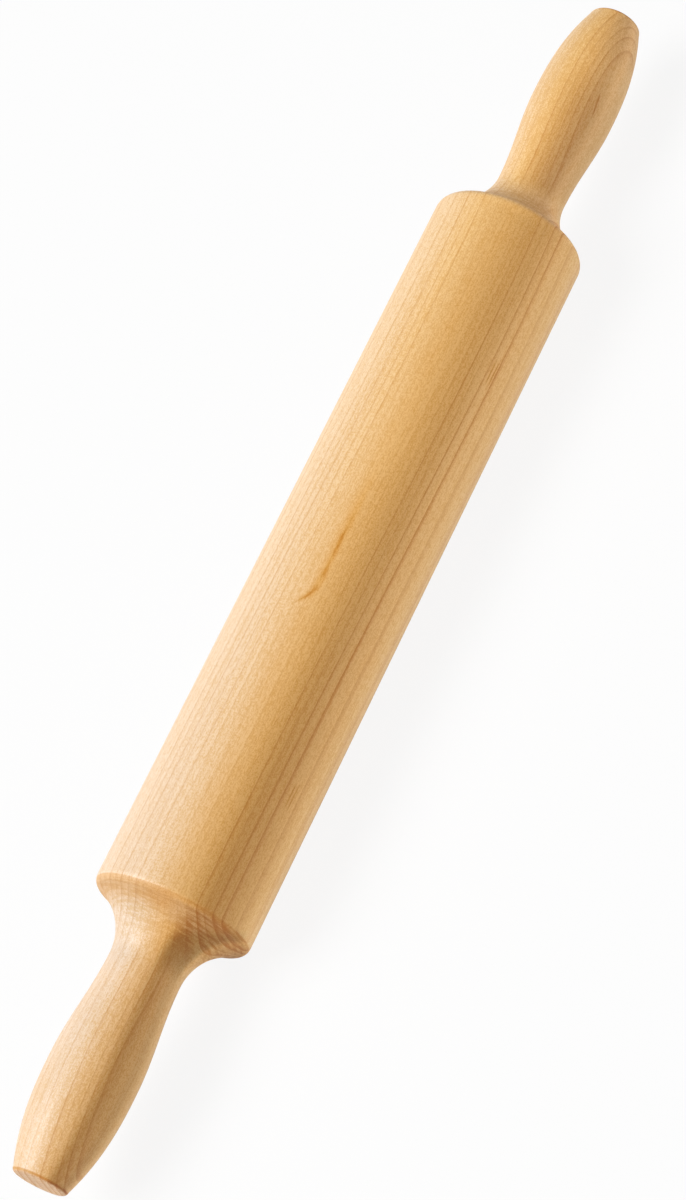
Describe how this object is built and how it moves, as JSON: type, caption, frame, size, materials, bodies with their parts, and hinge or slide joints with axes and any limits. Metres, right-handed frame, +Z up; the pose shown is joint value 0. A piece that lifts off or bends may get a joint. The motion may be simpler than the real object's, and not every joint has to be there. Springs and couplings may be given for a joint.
{
  "type": "rolling pin",
  "caption": "One-piece wooden rolling pin: a straight round barrel whose shoulders run through hollow coves into slim necks and bulb-shaped handles.",
  "frame": {"origin": "middle of the pin's length, on the plane that the barrel rests on", "axes": "+X along the pin from one handle to the other, +Z up, with the barrel lying on z = 0"},
  "size_m": [0.42, 0.05, 0.05],
  "materials": {
    "wood": "satin"
  },
  "bodies": {
    "root": {"rolling_pin": "wood"}
  },
  "joints": []
}
